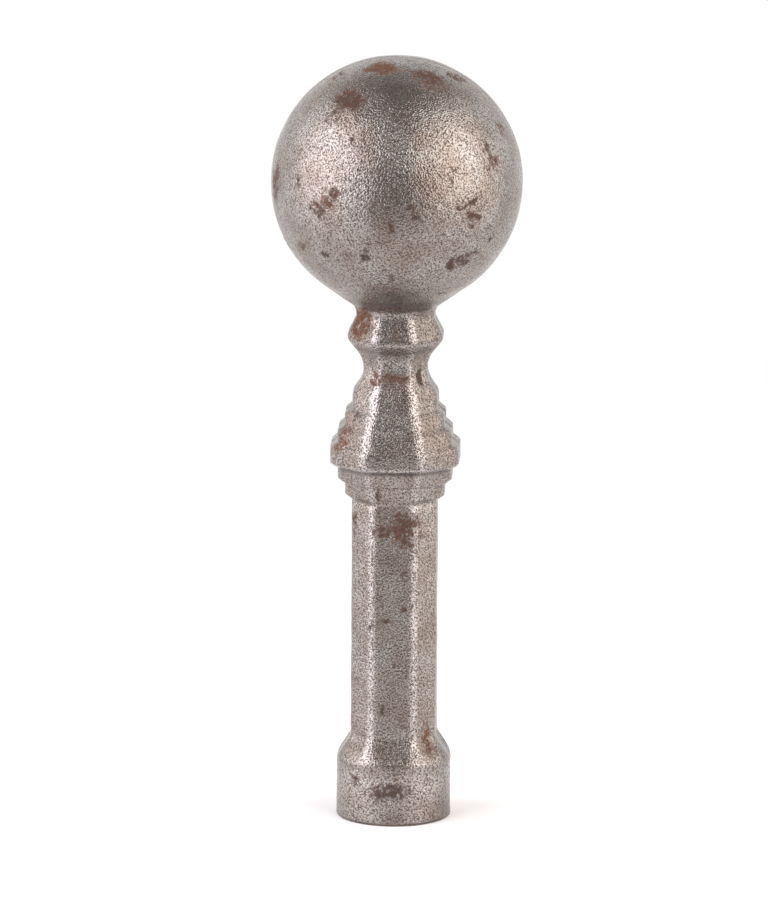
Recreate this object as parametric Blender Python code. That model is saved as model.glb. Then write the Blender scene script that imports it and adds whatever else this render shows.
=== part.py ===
"""Ball finial for a fence or railing post, one solid iron casting.

From the top down: a ball, a short neck, an eight-sided knop, a waist, an eight-sided bulb that steps out
and in again, a long eight-sided shaft with rounded arrises, and a flare into a round foot that is flat below.
Four of the eight faces look along X and Y, and they are wider than the four between them. The bulb's steps
are full on its two side faces, along X. On its front and back, along Y, they run out into straight slopes.
The axis is +Z, the origin is the centre of the underside, and lengths are in metres.
"""

import math

import bmesh
import bpy
import numpy as np

MM = 0.001

# Foot and flare
FOOT_DIAMETER = 23.35 * MM
FOOT_HEIGHT = 12.5 * MM
FOOT_EDGE_ROUND = 0.4 * MM
FOOT_SHOULDER_ROUND = 2.65 * MM
FLARE_HEIGHT = 4.55 * MM
FLARE_COVE = 2.0 * MM
FACET_RUN_OUT = 2.5 * MM  # how far the shaft's faces go on below the flare before the foot is round

# Shaft
SHAFT_ACROSS_FLATS = 17.42 * MM
SHAFT_LENGTH = 49.15 * MM

# Bulb: steps out below, a wide band, steps in above
STEP_COUNT = 3
STEP_OUT = 1.46 * MM
STEP_EDGE_ROUND = 0.45 * MM
LOWER_TREAD_HEIGHT = 0.95 * MM
LOWER_RISER_HEIGHT = 2.44 * MM
BAND_HEIGHT = 3.37 * MM
UPPER_TREAD_HEIGHT = 1.2 * MM
UPPER_RISER_HEIGHT = 2.19 * MM
SHOULDER_ROUND = 2.2 * MM

# Front and back of the bulb: a straight slope from the waist to the band, a lip, and a cone down to the shaft
FRONT_SLOPE_DROP = 0.9 * MM  # how far below the waist's middle the slope starts
FRONT_SLOPE_COVE = 4.0 * MM
FRONT_BAND_ROUND = 2.0 * MM
FRONT_LIP_ROUND = 1.2 * MM
FRONT_STEP_SHARE = 0.15  # how much of each step is left on the front and back
DIAGONAL_STEP_SHARE = 0.35  # and on the four faces between them and the sides

# Waist, knop and neck: each height runs up from the form below to the middle of this one
WAIST_ACROSS_FLATS = 13.07 * MM
WAIST_RISE = 5.67 * MM
WAIST_COVE = 6.05 * MM
KNOP_ACROSS_FLATS = 19.3 * MM
KNOP_RISE = 6.62 * MM
KNOP_ROUND = 1.75 * MM
NECK_ACROSS_FLATS = 15.95 * MM
NECK_RISE = 4.4 * MM
NECK_COVE = 2.3 * MM

# Ball
BALL_DIAMETER = 50.8 * MM
BALL_LOWER_DEPTH = 25.7 * MM  # the lower half hangs a little longer than a true half ball
BALL_RUN_OFF = math.radians(54.6)  # angle below the ball's equator where its surface turns into the neck

# Eight-sided sections: half a wide face as a share of half the width, and the radius on the arrises
SHAFT_FACE_SHARE = 0.50
SHAFT_ARRIS = 3.0 * MM
BULB_FACE_SHARE = 0.46
BULB_ARRIS = 2.4 * MM
WAIST_FACE_SHARE = 0.46
WAIST_ARRIS = 1.7 * MM
KNOP_FACE_SHARE = 0.42
KNOP_ARRIS = 3.2 * MM

# Facets of the solid
ARRIS_SEGMENTS = 4
BALL_RING_STEP = math.radians(7.5)
COVE_STEP = math.radians(17.0)
EDGE_STEP = math.radians(30.0)
SHARP_ANGLE = math.radians(28.0)  # edges that bend more than this are shaded sharp

# Room for roundings, so that they stay inside the forms they round
CORNER_ROOM = 0.48  # how much of a straight run the rounding at one of its ends may take up
OGEE_ROOM = 0.98  # how far an ogee's arcs may grow, as a share of the largest that fit
ARRIS_ROOM = 0.9  # how large an arris radius may be, as a share of half the section's width

SIDES = 8
SIDE_ANGLE = math.tau / SIDES
ROUND_SHARE = math.tan(SIDE_ANGLE / 2)  # face share of a regular octagon, the one that can turn round


def blend(low, high, share):
    return low + (high - low) * share


def eased(share):
    """A share from 0 to 1 that starts and ends gently."""
    share = min(max(share, 0.0), 1.0)
    return share * share * (3 - 2 * share)


def arc(centre, radius, start, end, step):
    """Points (out, up) on an arc from one angle to another, both ends included."""
    count = max(1, math.ceil(abs(end - start) / step - 1e-6))
    angles = [blend(start, end, i / count) for i in range(count + 1)]
    return [(centre[0] + radius * math.cos(a), centre[1] + radius * math.sin(a)) for a in angles]


def rounded(corners, step):
    """A line through (out, up, radius) corners with each corner rounded by an arc of its radius.

    A radius is kept short enough for the straight runs beside its corner.
    """
    points = []
    for i, (out, up, radius) in enumerate(corners):
        if radius == 0 or i in (0, len(corners) - 1):
            points.append((out, up))
            continue
        back = (corners[i - 1][0] - out, corners[i - 1][1] - up)
        ahead = (corners[i + 1][0] - out, corners[i + 1][1] - up)
        room = CORNER_ROOM * min(math.hypot(*back), math.hypot(*ahead))
        turn = math.atan2(back[0] * ahead[1] - back[1] * ahead[0], back[0] * ahead[0] + back[1] * ahead[1])
        half_turn = abs(turn) / 2
        radius = min(radius, room * math.tan(half_turn))
        away = radius / math.sin(half_turn)
        middle = math.atan2(back[1], back[0]) + turn / 2
        centre = (out + away * math.cos(middle), up + away * math.sin(middle))
        reach = math.pi / 2 - half_turn
        sign = math.copysign(1, turn)
        towards = middle + math.pi
        points += arc(centre, radius, towards + sign * reach, towards - sign * reach, step)
    return points


def ogee(top, bottom, top_round, bottom_round, step):
    """An S-curve from one upright (out, up) point down to another: two arcs and the line that joins them.

    Where the height is too short for both arcs, they are made smaller together.
    """
    spread = abs(top[0] - bottom[0])
    height = top[1] - bottom[1]
    most = (spread * spread + height * height) / (2 * spread)
    fit = min(1.0, OGEE_ROOM * most / (top_round + bottom_round))
    top_round *= fit
    bottom_round *= fit
    side = 1 if bottom[0] > top[0] else -1
    both = top_round + bottom_round
    apart = (both - spread, height)
    lean = math.acos(both / math.hypot(*apart)) if both < math.hypot(*apart) else 0.0
    turn = math.atan2(apart[1], apart[0]) - lean
    top_centre = (top[0] + side * top_round, top[1])
    bottom_centre = (bottom[0] - side * bottom_round, bottom[1])
    if side > 0:
        upper = arc(top_centre, top_round, math.pi, math.pi + turn, step)
        lower = arc(bottom_centre, bottom_round, turn, 0.0, step)
    else:
        upper = arc(top_centre, top_round, 0.0, -turn, step)
        lower = arc(bottom_centre, bottom_round, math.pi - turn, math.pi, step)
    return upper + lower


def run_off_lean():
    """How far below level the surface faces where the ball runs into the neck's cone."""
    stretch = BALL_LOWER_DEPTH / (BALL_DIAMETER / 2)
    return math.atan(math.tan(BALL_RUN_OFF) / stretch)


def heights():
    """Heights of the forms above the underside, each stacked on the one below."""
    at = {"foot_top": FOOT_HEIGHT}
    at["shaft_foot"] = at["foot_top"] + FLARE_HEIGHT
    at["shaft_top"] = at["shaft_foot"] + SHAFT_LENGTH
    at["band_foot"] = at["shaft_top"] + STEP_COUNT * LOWER_TREAD_HEIGHT
    at["band_foot"] += (STEP_COUNT - 1) * LOWER_RISER_HEIGHT
    at["band_top"] = at["band_foot"] + BAND_HEIGHT
    at["shoulder"] = at["band_top"] + STEP_COUNT * (UPPER_TREAD_HEIGHT + UPPER_RISER_HEIGHT)
    at["waist"] = at["shoulder"] + WAIST_RISE
    at["knop"] = at["waist"] + KNOP_RISE
    at["neck"] = at["knop"] + NECK_RISE
    lean = run_off_lean()
    cove_out = NECK_ACROSS_FLATS / 2 + NECK_COVE
    ball_out = BALL_DIAMETER / 2 * math.cos(BALL_RUN_OFF)
    fall = (NECK_COVE - (cove_out - ball_out) * math.cos(lean)) / math.sin(lean)
    at["ball"] = at["neck"] + BALL_LOWER_DEPTH * math.sin(BALL_RUN_OFF) + fall
    return at


def step_corners(at):
    """Corners of the bulb's steps from the top riser down to the shaft, as (out, up, radius)."""
    shaft_out = SHAFT_ACROSS_FLATS / 2
    corners = []
    up = at["shoulder"]
    for step in range(STEP_COUNT):
        up -= UPPER_RISER_HEIGHT
        corners.append((shaft_out + step * STEP_OUT, up, 0))
        up -= UPPER_TREAD_HEIGHT
        corners.append((shaft_out + (step + 1) * STEP_OUT, up, STEP_EDGE_ROUND))
    up = at["band_foot"]
    for step in reversed(range(STEP_COUNT)):
        corners.append((shaft_out + (step + 1) * STEP_OUT, up, STEP_EDGE_ROUND))
        up -= LOWER_TREAD_HEIGHT
        corners.append((shaft_out + step * STEP_OUT, up, 0))
        up -= LOWER_RISER_HEIGHT
    return corners


def front_line(at):
    """The bulb's outline on its front and back without any step, as (out, up) from the waist to the shaft."""
    shaft_out = SHAFT_ACROSS_FLATS / 2
    waist_out = WAIST_ACROSS_FLATS / 2
    band_out = shaft_out + STEP_COUNT * STEP_OUT
    corners = [
        (waist_out, at["waist"], 0),
        (waist_out, at["waist"] - FRONT_SLOPE_DROP, FRONT_SLOPE_COVE),
        (band_out, at["band_top"], FRONT_BAND_ROUND),
        (band_out, at["band_foot"], FRONT_LIP_ROUND),
        (band_out - STEP_OUT, at["band_foot"] - LOWER_TREAD_HEIGHT, 0),
        (shaft_out, at["shaft_top"], 0),
    ]
    return rounded(corners, EDGE_STEP)


def profile(at):
    """The outline of a side face's middle line, as (out, up) from the ball's top to the underside's edge."""
    ball_round = BALL_DIAMETER / 2
    shaft_out = SHAFT_ACROSS_FLATS / 2
    foot_out = FOOT_DIAMETER / 2
    knop = (KNOP_ACROSS_FLATS / 2, at["knop"])
    neck = (NECK_ACROSS_FLATS / 2, at["neck"])
    waist = (WAIST_ACROSS_FLATS / 2, at["waist"])
    shoulder = (shaft_out, at["shoulder"])
    neck_cove_centre = (neck[0] + NECK_COVE, neck[1])

    line = arc((0.0, at["ball"]), ball_round, math.pi / 2, 0.0, BALL_RING_STEP)
    below = arc((0.0, 0.0), 1.0, 0.0, -BALL_RUN_OFF, BALL_RING_STEP)
    line += [(x * ball_round, at["ball"] + y * BALL_LOWER_DEPTH) for x, y in below[1:]]
    line += arc(neck_cove_centre, NECK_COVE, math.pi - run_off_lean(), math.pi, COVE_STEP)
    line += ogee(neck, knop, NECK_COVE, KNOP_ROUND, COVE_STEP)[1:]
    line += ogee(knop, waist, KNOP_ROUND, WAIST_COVE, COVE_STEP)[1:]
    line += ogee(waist, shoulder, WAIST_COVE, SHOULDER_ROUND, COVE_STEP)[1:]
    line += rounded([(*shoulder, 0), *step_corners(at), (shaft_out, at["shaft_foot"], 0)], EDGE_STEP)[1:-1]
    foot = [
        (shaft_out, at["shaft_top"], 0),
        (shaft_out, at["shaft_foot"], FLARE_COVE),
        (foot_out, at["foot_top"], FOOT_SHOULDER_ROUND),
        (foot_out, 0.0, FOOT_EDGE_ROUND),
        (0.0, 0.0, 0),
    ]
    return line + rounded(foot, COVE_STEP)[1:-1]


def section_at(up, at):
    """Face share, arris radius and roundness, from 0 for eight-sided to 1 for round, at a height."""
    stations = [
        (at["shaft_foot"], SHAFT_FACE_SHARE, SHAFT_ARRIS),
        (at["shaft_top"] - STEP_OUT, SHAFT_FACE_SHARE, SHAFT_ARRIS),
        (at["shaft_top"], BULB_FACE_SHARE, BULB_ARRIS),
        (at["shoulder"], BULB_FACE_SHARE, BULB_ARRIS),
        (at["waist"], WAIST_FACE_SHARE, WAIST_ARRIS),
        (at["knop"], KNOP_FACE_SHARE, KNOP_ARRIS),
    ]
    share, arris = stations[0][1:]
    for low, high in zip(stations, stations[1:]):
        way = eased((up - low[0]) / (high[0] - low[0]))
        share = blend(share, high[1], way)
        arris = blend(arris, high[2], way)
    run_out_length = FLARE_HEIGHT + FACET_RUN_OUT
    round_below = eased((at["shaft_foot"] - up) / run_out_length)
    round_above = eased((up - at["neck"]) / NECK_COVE)
    return share, arris, max(round_below, round_above)


def outs_at(out, up, at, front):
    """How far out the diagonal and the front faces are at a height where the side faces are this far out.

    The diagonal's figure is that of the wide faces it would have on both sides of it.
    """
    if not at["shaft_top"] < up < at["waist"]:
        return out, out
    outs, ups = zip(*reversed(front))
    straight = float(np.interp(up, ups, outs))
    return blend(straight, out, DIAGONAL_STEP_SHARE), blend(straight, out, FRONT_STEP_SHARE)


def ring(out, up, at, front):
    """Points round the axis at one height: the middle of each face, and the arris arc after it."""
    share, arris, roundness = section_at(up, at)
    share = blend(share, ROUND_SHARE, roundness)
    radius = blend(min(arris, ARRIS_ROOM * out), out, roundness)
    between, front_out = outs_at(out, up, at, front)
    diagonal = between * (1 + share) / math.sqrt(2)
    distances = (out, diagonal, front_out, diagonal)
    sine = math.sin(SIDE_ANGLE)
    points = []
    for side in range(SIDES):
        here = side * SIDE_ANGLE
        after = here + SIDE_ANGLE
        near = distances[side % 4]
        far = distances[(side + 1) % 4]
        points.append((near * math.cos(here), near * math.sin(here), up))
        centre_x = ((near - radius) * math.sin(after) - (far - radius) * math.sin(here)) / sine
        centre_y = ((far - radius) * math.cos(here) - (near - radius) * math.cos(after)) / sine
        for i in range(ARRIS_SEGMENTS + 1):
            along = blend(i / ARRIS_SEGMENTS, (i + 1) / (ARRIS_SEGMENTS + 2), roundness)
            angle = here + SIDE_ANGLE * along
            points.append((centre_x + radius * math.cos(angle), centre_y + radius * math.sin(angle), up))
    return points


def loft(name, line, at):
    """A closed mesh through the rings of a line that starts on the axis."""
    mesh = bmesh.new()
    top = mesh.verts.new((0.0, 0.0, line[0][1]))
    front = front_line(at)
    rings = [[mesh.verts.new(point) for point in ring(out, up, at, front)] for out, up in line[1:]]
    count = len(rings[0])
    for i in range(count):
        mesh.faces.new((top, rings[0][i], rings[0][(i + 1) % count]))
    for upper, lower in zip(rings, rings[1:]):
        for i in range(count):
            after = (i + 1) % count
            mesh.faces.new((upper[i], lower[i], lower[after], upper[after]))
    mesh.faces.new(list(reversed(rings[-1])))
    mesh.normal_update()
    data = bpy.data.meshes.new(name)
    mesh.to_mesh(data)
    mesh.free()
    data.shade_smooth()
    data.set_sharp_from_angle(angle=SHARP_ANGLE)
    return data


def cast_iron():
    """Bare iron with a blasted surface: a brownish grey metal with a broad, soft gloss."""
    material = bpy.data.materials.new("blasted_cast_iron")
    material.use_nodes = True
    surface = material.node_tree.nodes["Principled BSDF"]
    surface.inputs["Base Color"].default_value = (0.27, 0.24, 0.21, 1.0)
    surface.inputs["Metallic"].default_value = 0.9
    surface.inputs["Roughness"].default_value = 0.5
    return material


def main():
    for old in list(bpy.data.objects):
        bpy.data.objects.remove(old)
    at = heights()
    finial = bpy.data.objects.new("finial_casting", loft("finial_casting", profile(at), at))
    finial.data.materials.append(cast_iron())
    bpy.context.scene.collection.objects.link(finial)


main()
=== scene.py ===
"""The looks of a cast-iron ball finial: its blasted, rust-marked skin, a floor, soft light and the camera.

The skin is one closed mesh round the axis. It has the named sizes of the solid casting, but for the bulb's
arrises, which are rubbed rounder. Its fine grid carries the swells, the grain, the dents, the mould's seam
and the rust of the real surface.
Lengths are in metres, and marks on the skin are placed in millimetres and degrees.
"""

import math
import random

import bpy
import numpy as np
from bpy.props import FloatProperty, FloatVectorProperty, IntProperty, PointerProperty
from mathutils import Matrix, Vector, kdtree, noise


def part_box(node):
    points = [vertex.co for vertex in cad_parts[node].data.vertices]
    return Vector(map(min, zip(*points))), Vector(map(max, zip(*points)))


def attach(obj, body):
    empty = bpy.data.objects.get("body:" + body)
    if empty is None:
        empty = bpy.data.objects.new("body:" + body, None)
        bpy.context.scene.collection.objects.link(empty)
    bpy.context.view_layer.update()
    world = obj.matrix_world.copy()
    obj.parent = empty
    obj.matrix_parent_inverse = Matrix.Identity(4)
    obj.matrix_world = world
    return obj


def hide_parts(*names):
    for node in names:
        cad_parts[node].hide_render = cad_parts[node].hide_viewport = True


bl_info = {
    "name": "Cast Iron Ball Finial",
    "version": (1, 0, 0),
    "blender": (4, 5, 0),
    "location": "3D View > Sidebar > Finial",
    "description": "Builds the skin, the stage and the camera of a cast-iron ball finial",
    "category": "Add Mesh",
}

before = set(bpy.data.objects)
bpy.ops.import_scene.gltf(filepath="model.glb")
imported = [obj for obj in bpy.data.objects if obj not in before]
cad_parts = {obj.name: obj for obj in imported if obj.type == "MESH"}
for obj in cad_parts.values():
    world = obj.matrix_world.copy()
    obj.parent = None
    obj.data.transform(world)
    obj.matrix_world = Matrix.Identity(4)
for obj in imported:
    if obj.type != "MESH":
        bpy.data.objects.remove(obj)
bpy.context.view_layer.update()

NODE = "finial_casting"
BODY = "root"
PIECE = "finial_skin"

MM = 0.001
SIDES = 8
HALF_TURN_SIDES = SIDES // 2
FRONT_SIDE = 2  # number of the face that looks along Y, counted from the one along X, in each half turn
SIDE_ANGLE = math.tau / SIDES
ROUND_SHARE = math.tan(SIDE_ANGLE / 2)  # face share of a regular octagon, the one that can turn round

BOX_LOW, BOX_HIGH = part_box(NODE)
CAD_BALL = BOX_HIGH.x - BOX_LOW.x
CAD_HEIGHT = BOX_HIGH.z - BOX_LOW.z
HEIGHT_SLACK = 0.2 * MM  # how much the skin's height may differ from the solid casting's

# Room for roundings, so that they stay inside the forms they round
CORNER_ROOM = 0.48  # how much of a straight run the rounding at one of its ends may take up
OGEE_ROOM = 0.98  # how far an ogee's arcs may grow, as a share of the largest that fit
ARRIS_ROOM = 0.9  # how large an arris radius may be, as a share of half the section's width

# Fineness of the skin
ARC_STEP = math.radians(2.0)
FRONT_ARC_STEP = math.radians(4.0)
MOST_COLUMNS = 320
LEAST_COLUMNS = 5 * SIDES
SLIVER_SHARE = 0.55  # how narrow a face of the grid may be, as a share of the ball's grid

# Rust and dirt on the side that shows: how high up each mark is, how wide and how tall, in mm, how far it
# is turned to the right round the axis, in degrees, how strong it is, and how orange
RUST_MARKS = {
    "streak on the crown": dict(height=155.5, turn=-20, wide=8.5, tall=5.5, strength=1.0, orange=0.9),
    "patch on the crown": dict(height=153.8, turn=36, wide=6.5, tall=7.5, strength=0.95, orange=0.4),
    "spot right of the crown": dict(height=153.2, turn=71, wide=5.0, tall=4.4, strength=0.8, orange=0.3),
    "spot left of the crown": dict(height=153.4, turn=-70, wide=3.5, tall=3.5, strength=0.65, orange=0.3),
    "patch above the left gloss": dict(height=150.2, turn=-33, wide=8.0, tall=5.8, strength=1.0, orange=0.33),
    "tail of that patch": dict(height=147.2, turn=-38, wide=4.0, tall=4.5, strength=0.6, orange=0.2),
    "scab at the left edge": dict(height=131.8, turn=-71, wide=5.0, tall=9.5, strength=0.9, orange=0.4),
    "left blotch, top": dict(height=132.4, turn=-28, wide=3.0, tall=3.0, strength=0.85, orange=0.5),
    "left blotch, middle": dict(height=130.8, turn=-31, wide=3.4, tall=3.4, strength=0.95, orange=0.7),
    "left blotch, foot": dict(height=129.0, turn=-34, wide=3.4, tall=3.4, strength=0.9, orange=0.4),
    "left blotch, tail": dict(height=129.6, turn=-39, wide=2.4, tall=1.6, strength=0.75, orange=0.2),
    "branch, top": dict(height=131.2, turn=39, wide=3.2, tall=1.8, strength=0.85, orange=0.2),
    "branch, stem": dict(height=130.2, turn=35, wide=1.6, tall=2.2, strength=0.8, orange=0.2),
    "branch, left twig": dict(height=129.6, turn=33, wide=2.4, tall=1.7, strength=0.85, orange=0.2),
    "branch, right twig": dict(height=127.8, turn=40, wide=4.2, tall=2.0, strength=0.9, orange=0.3),
    "branch, tail": dict(height=126.3, turn=39, wide=2.0, tall=2.4, strength=0.8, orange=0.2),
    "low scab, stem": dict(height=117.8, turn=33, wide=2.6, tall=4.8, strength=0.95, orange=0.1),
    "low scab, arm": dict(height=118.2, turn=39, wide=4.0, tall=2.6, strength=0.95, orange=0.2),
    "low scab, tip": dict(height=119.6, turn=44, wide=3.2, tall=2.0, strength=0.85, orange=0.2),
    "right scab, top": dict(height=140.8, turn=53, wide=2.8, tall=2.0, strength=0.8, orange=0.2),
    "right scab, middle": dict(height=138.8, turn=54, wide=3.0, tall=3.2, strength=0.9, orange=0.4),
    "right scab, foot": dict(height=137.2, turn=51, wide=2.0, tall=2.2, strength=0.8, orange=0.3),
    "high on the right": dict(height=143.5, turn=72, wide=3.8, tall=2.6, strength=0.7, orange=0.3),
    "at the right edge": dict(height=128.5, turn=72, wide=2.6, tall=1.6, strength=0.7, orange=0.5),
    "streak in the right gloss": dict(height=137.8, turn=29, wide=3.4, tall=1.8, strength=0.5, orange=0.3),
    "speck in the right gloss": dict(height=135.5, turn=28, wide=1.6, tall=1.6, strength=0.8, orange=0.1),
    "speck in the left gloss": dict(height=142.8, turn=-21, wide=1.7, tall=1.7, strength=0.8, orange=0.1),
    "speck over the left gloss": dict(height=143.9, turn=-5, wide=1.5, tall=1.5, strength=0.7, orange=0.1),
    "dash left of the left gloss": dict(height=134.1, turn=-49, wide=1.6, tall=2.6, strength=0.8, orange=0.1),
    "middle speck 1": dict(height=137.6, turn=-8, wide=1.8, tall=1.8, strength=0.7, orange=0.1),
    "middle speck 2": dict(height=131.7, turn=-6, wide=1.8, tall=2.1, strength=0.75, orange=0.1),
    "middle speck 3": dict(height=130.3, turn=8, wide=2.2, tall=2.8, strength=0.85, orange=0.2),
    "middle speck 4": dict(height=128.1, turn=12, wide=2.6, tall=1.4, strength=0.85, orange=0.1),
    "middle speck 5": dict(height=130.0, turn=20, wide=1.6, tall=2.2, strength=0.65, orange=0.3),
    "middle speck 6": dict(height=125.7, turn=0, wide=2.0, tall=2.8, strength=0.85, orange=0.2),
    "low speck 1": dict(height=122.8, turn=-13, wide=2.4, tall=1.4, strength=0.85, orange=0.1),
    "low speck 2": dict(height=119.8, turn=-13, wide=2.2, tall=2.8, strength=0.95, orange=0.1),
    "low speck 3": dict(height=120.1, turn=-23, wide=2.2, tall=1.5, strength=0.8, orange=0.1),
    "low speck 4": dict(height=119.6, turn=-37, wide=2.6, tall=2.0, strength=0.85, orange=0.1),
    "low speck 5": dict(height=120.4, turn=-53, wide=4.0, tall=3.0, strength=0.75, orange=0.2),
    "low speck 6": dict(height=116.8, turn=-5, wide=1.6, tall=1.8, strength=0.7, orange=0.2),
    "low speck 7": dict(height=114.5, turn=-2, wide=1.8, tall=2.1, strength=0.9, orange=0.3),
    "low speck 8": dict(height=114.8, turn=9, wide=1.5, tall=1.5, strength=0.8, orange=0.1),
    "low speck 9": dict(height=110.5, turn=40, wide=2.4, tall=1.8, strength=0.8, orange=0.1),
    "low speck 10": dict(height=124.5, turn=49, wide=2.2, tall=1.8, strength=0.85, orange=0.1),
    "low speck 11": dict(height=122.7, turn=54, wide=2.6, tall=1.8, strength=0.85, orange=0.2),
    "stain under the ball": dict(height=112.5, turn=0, wide=8.0, tall=4.0, strength=0.5, orange=0.3),
    "rust line in the neck": dict(height=106.8, turn=-9, wide=6.5, tall=3.4, strength=0.85, orange=0.25),
    "orange side of the knop": dict(height=103.0, turn=-57, wide=7.4, tall=7.6, strength=0.9, orange=0.95),
    "spots on the knop": dict(height=100.8, turn=4, wide=4.5, tall=2.5, strength=0.5, orange=0.3),
    "ring below the waist": dict(height=91.9, turn=-4, wide=7.0, tall=3.0, strength=0.95, orange=0.5),
    "left end of the ring": dict(height=91.5, turn=-34, wide=3.0, tall=3.4, strength=0.8, orange=0.7),
    "dark corner of the waist": dict(height=91.7, turn=47, wide=2.8, tall=5.2, strength=0.9, orange=0.15),
    "orange streak on the bulb": dict(height=79.3, turn=-56, wide=4.4, tall=6.4, strength=0.75, orange=0.95),
    "dark mark on the bulb": dict(height=83.4, turn=-46, wide=1.6, tall=2.6, strength=0.8, orange=0.1),
    "yellow tint under the bulb": dict(height=75.1, turn=44, wide=5.2, tall=2.6, strength=0.35, orange=0.9),
    "spot at the shaft's top": dict(height=67.8, turn=-16, wide=1.5, tall=2.5, strength=0.85, orange=0.1),
    "patch on the shaft": dict(height=61.2, turn=14, wide=6.4, tall=8.6, strength=1.0, orange=0.35),
    "arm of the shaft's patch": dict(height=60.4, turn=-12, wide=4.6, tall=2.6, strength=0.85, orange=0.2),
    "streak left on the shaft": dict(height=61.5, turn=-58, wide=2.2, tall=5.4, strength=0.8, orange=0.5),
    "shaft speck 1": dict(height=51.8, turn=16, wide=2.0, tall=2.0, strength=0.8, orange=0.1),
    "shaft speck 2": dict(height=44.3, turn=14, wide=1.8, tall=1.8, strength=0.85, orange=0.1),
    "shaft speck 3": dict(height=43.6, turn=27, wide=1.8, tall=1.6, strength=0.8, orange=0.1),
    "shaft speck 4": dict(height=42.4, turn=-7, wide=1.8, tall=1.8, strength=0.8, orange=0.1),
    "shaft speck 5": dict(height=40.9, turn=-33, wide=2.2, tall=1.8, strength=0.9, orange=0.1),
    "shaft speck 6": dict(height=38.4, turn=-32, wide=2.2, tall=1.8, strength=0.9, orange=0.1),
    "shaft speck 7": dict(height=24.0, turn=-12, wide=2.2, tall=2.3, strength=0.9, orange=0.1),
    "shaft speck 8": dict(height=20.1, turn=16, wide=2.2, tall=2.3, strength=0.75, orange=0.2),
    "orange stroke on the flare": dict(height=16.6, turn=47, wide=2.8, tall=8.4, strength=0.75, orange=0.75),
    "patch on the foot": dict(height=7.2, turn=-3, wide=8.0, tall=4.8, strength=1.0, orange=0.15),
    "small mark on the foot": dict(height=9.6, turn=-42, wide=3.0, tall=1.8, strength=0.8, orange=0.2),
}

# Level lines round the casting, in mm: painted shade in the creases and a painted shadow at the foot's edge,
# painted shade on the faces, and painted highlights on the rims
# Painted shade: dark lines in the creases under the ball, under the knop and under the band's lip, the one
# under the ball partly dirt, and a painted shadow along the foot's lower edge
CREASE_SHADE_LINES = {
    "under the ball": dict(height=107.8, half=1.3, strength=0.75),
    "under the knop": dict(height=97.4, half=0.55, strength=0.6),
    "under the band's lip": dict(height=73.0, half=0.35, strength=0.7),
    "foot's edge": dict(height=0.0, half=0.55, strength=0.9),
}
# Painted shade: a darker brown on the faces in these bands, stronger on the diagonal faces than on the wide
# ones
FACE_SHADE_LINES = {
    "knop": dict(height=101.0, half=5.0, strength=0.7),
    "bulb": dict(height=83.0, half=10.0, strength=0.6),
    "shaft": dict(height=42.0, half=24.0, strength=0.16),
    "flare": dict(height=14.8, half=2.6, strength=0.9),
}
FRONT_FACE_SHADE = 0.3  # how dull the wide faces are there, as a share of the diagonal ones
# Painted highlights: lighter metal in level bands on the foot, the knop's lower rim, the band's lip and the
# cone below the band
RIM_HIGHLIGHT_LINES = {
    "foot": dict(height=8.0, half=3.8, strength=0.6),
    "knop's lower rim": dict(height=98.9, half=0.45, strength=0.9),
    "band's lip": dict(height=73.9, half=0.5, strength=0.9),
    "cone below the band": dict(height=69.5, half=3.0, strength=0.25),
}

# Wear and painted highlights on the arrises, and painted highlights in the rim lines, made uneven by noise
SIDE_WEAR_AND_HIGHLIGHT = 0.2  # on the arrises beside the side faces, as a share of that beside the front and back
WEAR_AND_HIGHLIGHT_MIDDLE = 0.7
WEAR_AND_HIGHLIGHT_SPREAD = 0.5
WEAR_AND_HIGHLIGHT_WIDTH = 2.5  # width of the noise's lumps, in mm

# The mould's seam over the ball and down both sides, in mm
SEAM_WIDTH = 0.7
SEAM_DEPTH = 0.08
SEAM_GRIME = 0.95

# Level ripples left on the cone below the band, in mm
RIPPLED_LINES = {"cone below the band": dict(height=69.8, half=3.0, strength=1.0)}
RIPPLE_WIDTH = 0.95
RIPPLE_DEPTH = 0.07
RIPPLE_WANDER = 2.2  # how far the ripples stray from level, in radians of their wave

# Rust marks for the sides and the back, scattered with a fixed seed
SCATTER_SEED = 7
SCATTER_ON_BALL = 26
SCATTER_ON_STEM = 24
SCATTER_TOP = 0.95  # how far up the ball's upper half they reach
BALL_MARK_SIZE = (1.4, 7.0)  # in mm, before each is shrunk
STEM_MARK_SIZE = (1.4, 4.5)
MARK_SHRINK = (0.4, 1.0)
MARK_TALLNESS = (0.6, 1.6)  # as a share of its width
MARK_STRENGTH = (0.6, 1.0)
MARK_ORANGES = (0.2, 0.3, 0.4, 0.8)
FRONT_HALF = 75.0  # degrees each way from the front within which the marks above are the only ones

# Relief of the casting skin, in mm: how wide each kind of form is, and how far it goes in and out.
# Each kind takes another patch of the same noise.
PATCH_APART = 40.0
SWELL_WIDTH = 8.0
SWELL_DEPTH = 0.10
LUMP_WIDTH = 2.6
LUMP_DEPTH = 0.03
GRAIN_WIDTH = 1.0
GRAIN_DEPTH = 0.03
RUST_WIDTH = 1.4
RUST_DEPTH = 0.09
RUST_BEND_WIDTH = 2.2
RUST_BEND = 1.1
RUST_BEND_SEED = 1795822200  # Blender's vector noise takes its seed from the clock unless it is given one
RUST_REACH = 1.5  # how far from its middle a mark fades out, as a share of its half width
FOOT_FADE = 2.0  # height above the underside below which the relief fades out
DENT_SEED = 11
DENT_COUNT = 420
DENT_RADIUS = (0.45, 1.25)
DENT_DEPTH = (0.02, 0.12)


def linear(colour):
    """A colour written as sRGB hex, turned into the linear red, green and blue that Blender works in."""
    shares = [int(colour[i:i + 2], 16) / 255 for i in (1, 3, 5)]
    return tuple(c / 12.92 if c <= 0.04045 else ((c + 0.055) / 1.055) ** 2.4 for c in shares)


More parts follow.
